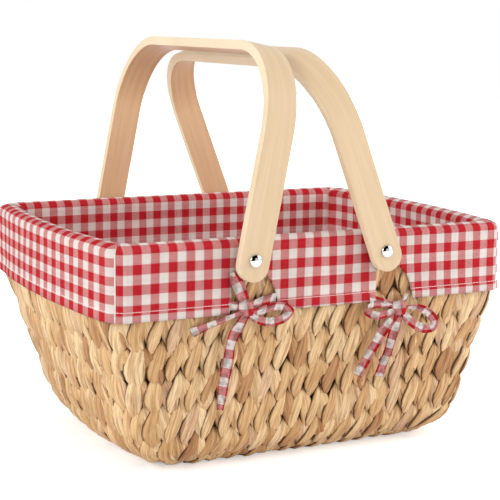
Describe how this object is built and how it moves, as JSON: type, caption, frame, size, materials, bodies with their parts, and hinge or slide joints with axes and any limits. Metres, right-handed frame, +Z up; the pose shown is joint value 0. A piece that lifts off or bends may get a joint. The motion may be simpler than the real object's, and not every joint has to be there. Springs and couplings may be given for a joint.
{
  "type": "picnic basket",
  "caption": "Rectangular woven picnic basket with a gingham liner folded over the rim and tied with bows, and two bentwood handles that swing outward on rivets.",
  "frame": {"origin": "centre of the basket's footprint, on the surface it stands on", "axes": "+X along the long side, to the right seen from the front; +Y from front to back; +Z up"},
  "size_m": [0.4, 0.3354, 0.3658],
  "materials": {
    "weave": "dry flat plant-fibre leaves, matte",
    "gingham": "red and white gingham cotton, matte",
    "birch": "pale bentwood, satin",
    "chrome": "polished dome",
    "wire": "plain rod"
  },
  "bodies": {
    "basket": {"weave_course_1": "weave", "weave_course_2": "weave", "weave_course_3": "weave", "weave_course_4": "weave", "weave_course_5": "weave", "weave_course_6": "weave", "weave_course_7": "weave", "weave_course_8": "weave", "woven_base": "weave", "rim_hoop": "wire", "base_hoop": "wire", "frame_upright_front_left": "wire", "frame_upright_front_right": "wire", "frame_upright_back_left": "wire", "frame_upright_back_right": "wire", "frame_upright_left": "wire", "frame_upright_right": "wire", "washer_front_left": "wire", "washer_front_right": "wire", "washer_back_left": "wire", "washer_back_right": "wire", "liner_front": "gingham", "liner_back": "gingham", "liner_left": "gingham", "liner_right": "gingham", "liner_floor": "gingham", "tie_bow_front_left": "gingham", "tie_bow_front_right": "gingham", "tie_bow_back_left": "gingham", "tie_bow_back_right": "gingham", "spacer_front_left": "birch", "spacer_front_right": "birch", "spacer_back_left": "birch", "spacer_back_right": "birch", "rivet_front_left": "chrome", "rivet_front_right": "chrome", "rivet_back_left": "chrome", "rivet_back_right": "chrome"},
    "handle_left": {"handle_left": "birch"},
    "handle_right": {"handle_right": "birch"}
  },
  "joints": [
    {"name": "left_handle_swing", "type": "hinge", "parent": "basket", "child": "handle_left", "pos_m": [-0.07, 0, 0.189], "axis": [0, -1, 0], "range_deg": [0, 148]},
    {"name": "right_handle_swing", "type": "hinge", "parent": "basket", "child": "handle_right", "pos_m": [0.056, 0, 0.189], "axis": [0, 1, 0], "range_deg": [0, 140]}
  ]
}
